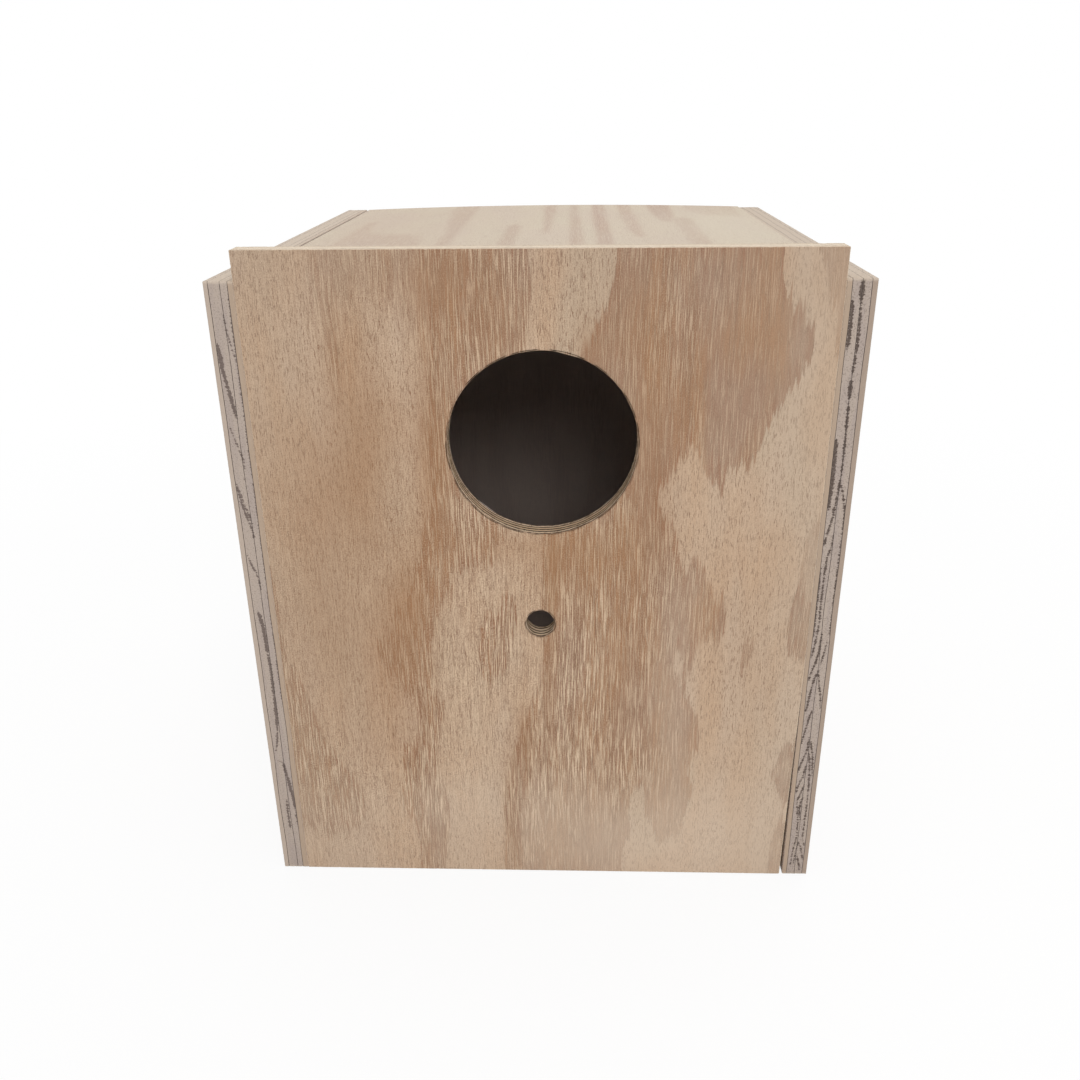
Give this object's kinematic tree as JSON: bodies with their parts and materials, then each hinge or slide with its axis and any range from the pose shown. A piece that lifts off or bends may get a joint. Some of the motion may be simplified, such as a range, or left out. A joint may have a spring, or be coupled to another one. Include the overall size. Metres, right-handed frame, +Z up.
{
  "type": "bird nest box",
  "caption": "Plywood nest box for cage birds, with a round entrance hole, a small perch hole and a lid set in between the sides that turns up on hinges at the back.",
  "frame": {"origin": "under the middle of the box, on the underside of the floor", "axes": "+Z up, -Y out of the entrance, +Y out of the back, +X to the right as seen from the front"},
  "size_m": [0.2646, 0.2864, 0.306],
  "materials": {
    "plywood": "bare sanded pine plywood, unsealed",
    "steel": "plain zinc-plated steel, satin"
  },
  "bodies": {
    "box": {"front_panel": "plywood", "left_side_panel": "plywood", "right_side_panel": "plywood", "back_panel": "plywood", "floor_panel": "plywood", "left_lid_cleat": "plywood", "right_lid_cleat": "plywood", "left_hinge_fixed_leaf": "steel", "right_hinge_fixed_leaf": "steel", "left_hinge_pin": "steel", "right_hinge_pin": "steel", "left_fixed_screw_1": "steel", "left_fixed_screw_2": "steel", "right_fixed_screw_1": "steel", "right_fixed_screw_2": "steel", "left_front_nail_1": "steel", "left_front_nail_2": "steel", "left_front_nail_3": "steel", "left_front_nail_4": "steel", "left_back_nail_1": "steel", "left_back_nail_2": "steel", "left_back_nail_3": "steel", "left_back_nail_4": "steel", "left_floor_nail_1": "steel", "left_floor_nail_2": "steel", "left_floor_nail_3": "steel", "left_cleat_nail_1": "steel", "left_cleat_nail_2": "steel", "right_front_nail_1": "steel", "right_front_nail_2": "steel", "right_front_nail_3": "steel", "right_front_nail_4": "steel", "right_back_nail_1": "steel", "right_back_nail_2": "steel", "right_back_nail_3": "steel", "right_back_nail_4": "steel", "right_floor_nail_1": "steel", "right_floor_nail_2": "steel", "right_floor_nail_3": "steel", "right_cleat_nail_1": "steel", "right_cleat_nail_2": "steel"},
    "lid": {"lid": "plywood", "left_hinge_lid_leaf": "steel", "right_hinge_lid_leaf": "steel", "left_lid_screw_1": "steel", "left_lid_screw_2": "steel", "right_lid_screw_1": "steel", "right_lid_screw_2": "steel"}
  },
  "joints": [
    {"name": "lid_hinge", "type": "hinge", "parent": "box", "child": "lid", "pos_m": [0, 0.1434, 0.28185], "axis": [-1, 0, 0], "range_deg": [0, 180]}
  ]
}
